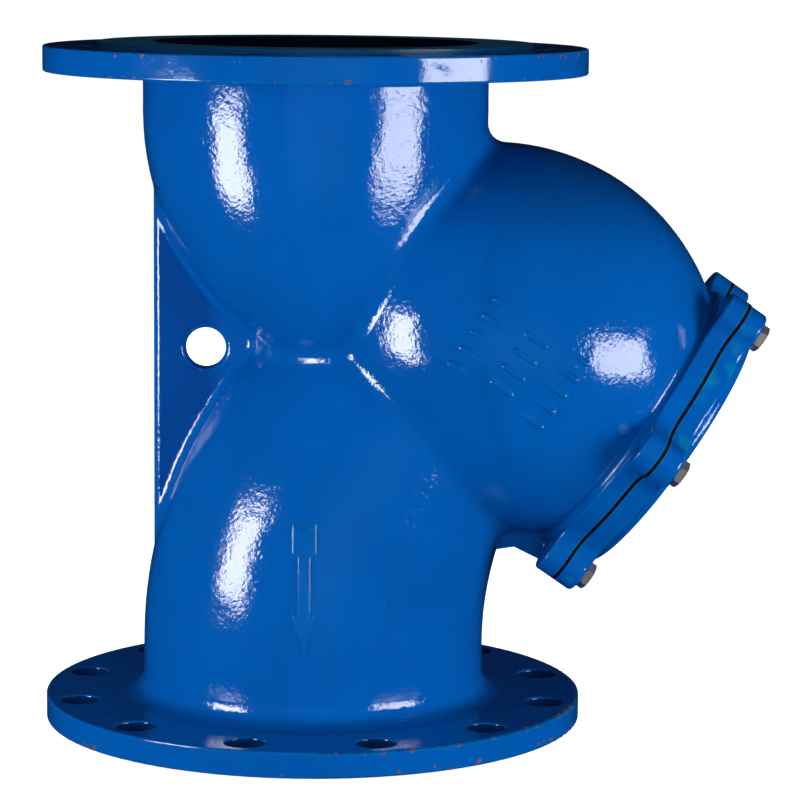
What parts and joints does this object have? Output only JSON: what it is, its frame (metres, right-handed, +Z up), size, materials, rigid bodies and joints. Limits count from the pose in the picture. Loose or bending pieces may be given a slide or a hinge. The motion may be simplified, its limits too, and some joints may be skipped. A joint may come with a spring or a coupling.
{
  "type": "flanged y strainer",
  "caption": "Cast y strainer with end flanges, a bolted cover on its slanted branch and a screen basket inside that keeps debris out of the pipeline.",
  "frame": {"origin": "centre of the outlet flange's gasket face", "axes": "+Z up the pipe axis towards the inlet, +X towards the branch, and water flows along -Z"},
  "size_m": [0.5322, 0.4, 0.506],
  "materials": {
    "casting_paint": "glossy epoxy coat with a fine orange peel",
    "cover_paint": "glossy epoxy coat with a fine orange peel",
    "gasket_rubber": "matt black sheet rubber",
    "stainless": "machined stainless steel",
    "plug_brass": "machined brass, dulled",
    "screen_steel": "perforated stainless sheet"
  },
  "bodies": {
    "root": {"body_casting": "casting_paint"},
    "cover": {"branch_cover": "cover_paint", "cover_gasket": "gasket_rubber"},
    "basket": {"basket_screen": "screen_steel", "basket_liner": "screen_steel", "basket_seat_ring": "screen_steel", "basket_cover_ring": "screen_steel", "basket_seal": "gasket_rubber", "basket_seam_strip": "screen_steel"},
    "washer_1": {"cover_washer_1": "stainless"},
    "bolt_1": {"cover_bolt_1": "stainless"},
    "washer_2": {"cover_washer_2": "stainless"},
    "bolt_2": {"cover_bolt_2": "stainless"},
    "washer_3": {"cover_washer_3": "stainless"},
    "bolt_3": {"cover_bolt_3": "stainless"},
    "washer_4": {"cover_washer_4": "stainless"},
    "bolt_4": {"cover_bolt_4": "stainless"},
    "washer_5": {"cover_washer_5": "stainless"},
    "bolt_5": {"cover_bolt_5": "stainless"},
    "washer_6": {"cover_washer_6": "stainless"},
    "bolt_6": {"cover_bolt_6": "stainless"},
    "plug_seal": {"drain_plug_seal": "gasket_rubber"},
    "plug": {"drain_plug": "plug_brass"}
  },
  "joints": [
    {"name": "cover_slide", "type": "slide", "parent": "root", "child": "cover", "axis": [0.8231, 0, -0.5678], "range_m": [0, 0.32]},
    {"name": "basket_slide", "type": "slide", "parent": "root", "child": "basket", "axis": [0.8231, 0, -0.5678], "range_m": [0, 0.24]},
    {"name": "washer_1_slide", "type": "slide", "parent": "cover", "child": "washer_1", "axis": [0.8231, 0, -0.5678], "range_m": [0, 0.014]},
    {"name": "bolt_1_turn", "type": "hinge", "parent": "washer_1", "child": "bolt_1", "pos_m": [0.20034, 0.06497, 0.12463], "axis": [0.8231, 0, -0.5678], "range_deg": [0, 2880]},
    {"name": "washer_2_slide", "type": "slide", "parent": "cover", "child": "washer_2", "axis": [0.8231, 0, -0.5678], "range_m": [0, 0.014]},
    {"name": "bolt_2_turn", "type": "hinge", "parent": "washer_2", "child": "bolt_2", "pos_m": [0.26228, 0.12395, 0.21441], "axis": [0.8231, 0, -0.5678], "range_deg": [0, 2880]},
    {"name": "washer_3_slide", "type": "slide", "parent": "cover", "child": "washer_3", "axis": [0.8231, 0, -0.5678], "range_m": [0, 0.014]},
    {"name": "bolt_3_turn", "type": "hinge", "parent": "washer_3", "child": "bolt_3", "pos_m": [0.32226, 0.05898, 0.30135], "axis": [0.8231, 0, -0.5678], "range_deg": [0, 2880]},
    {"name": "washer_4_slide", "type": "slide", "parent": "cover", "child": "washer_4", "axis": [0.8231, 0, -0.5678], "range_m": [0, 0.014]},
    {"name": "bolt_4_turn", "type": "hinge", "parent": "washer_4", "child": "bolt_4", "pos_m": [0.32029, -0.06497, 0.2985], "axis": [0.8231, 0, -0.5678], "range_deg": [0, 2880]},
    {"name": "washer_5_slide", "type": "slide", "parent": "cover", "child": "washer_5", "axis": [0.8231, 0, -0.5678], "range_m": [0, 0.014]},
    {"name": "bolt_5_turn", "type": "hinge", "parent": "washer_5", "child": "bolt_5", "pos_m": [0.25835, -0.12395, 0.20871], "axis": [0.8231, 0, -0.5678], "range_deg": [0, 2880]},
    {"name": "washer_6_slide", "type": "slide", "parent": "cover", "child": "washer_6", "axis": [0.8231, 0, -0.5678], "range_m": [0, 0.014]},
    {"name": "bolt_6_turn", "type": "hinge", "parent": "washer_6", "child": "bolt_6", "pos_m": [0.19838, -0.05898, 0.12178], "axis": [0.8231, 0, -0.5678], "range_deg": [0, 2880]},
    {"name": "plug_seal_slide", "type": "slide", "parent": "cover", "child": "plug_seal", "axis": [0.8231, 0, -0.5678], "range_m": [0, 0.0163]},
    {"name": "plug_turn", "type": "hinge", "parent": "plug_seal", "child": "plug", "pos_m": [0.26871, 0, 0.20577], "axis": [0.8231, 0, -0.5678], "range_deg": [0, 3240]}
  ],
  "couplings": [
    {"joint": "basket_slide", "follows": "cover_slide", "ratio": 0.75},
    {"joint": "bolt_1_turn", "follows": "washer_1_slide", "rad_per_m": 3590.4},
    {"joint": "bolt_2_turn", "follows": "washer_2_slide", "rad_per_m": 3590.4},
    {"joint": "bolt_3_turn", "follows": "washer_3_slide", "rad_per_m": 3590.4},
    {"joint": "bolt_4_turn", "follows": "washer_4_slide", "rad_per_m": 3590.4},
    {"joint": "bolt_5_turn", "follows": "washer_5_slide", "rad_per_m": 3590.4},
    {"joint": "bolt_6_turn", "follows": "washer_6_slide", "rad_per_m": 3590.4},
    {"joint": "plug_turn", "follows": "plug_seal_slide", "rad_per_m": 3463.7}
  ]
}
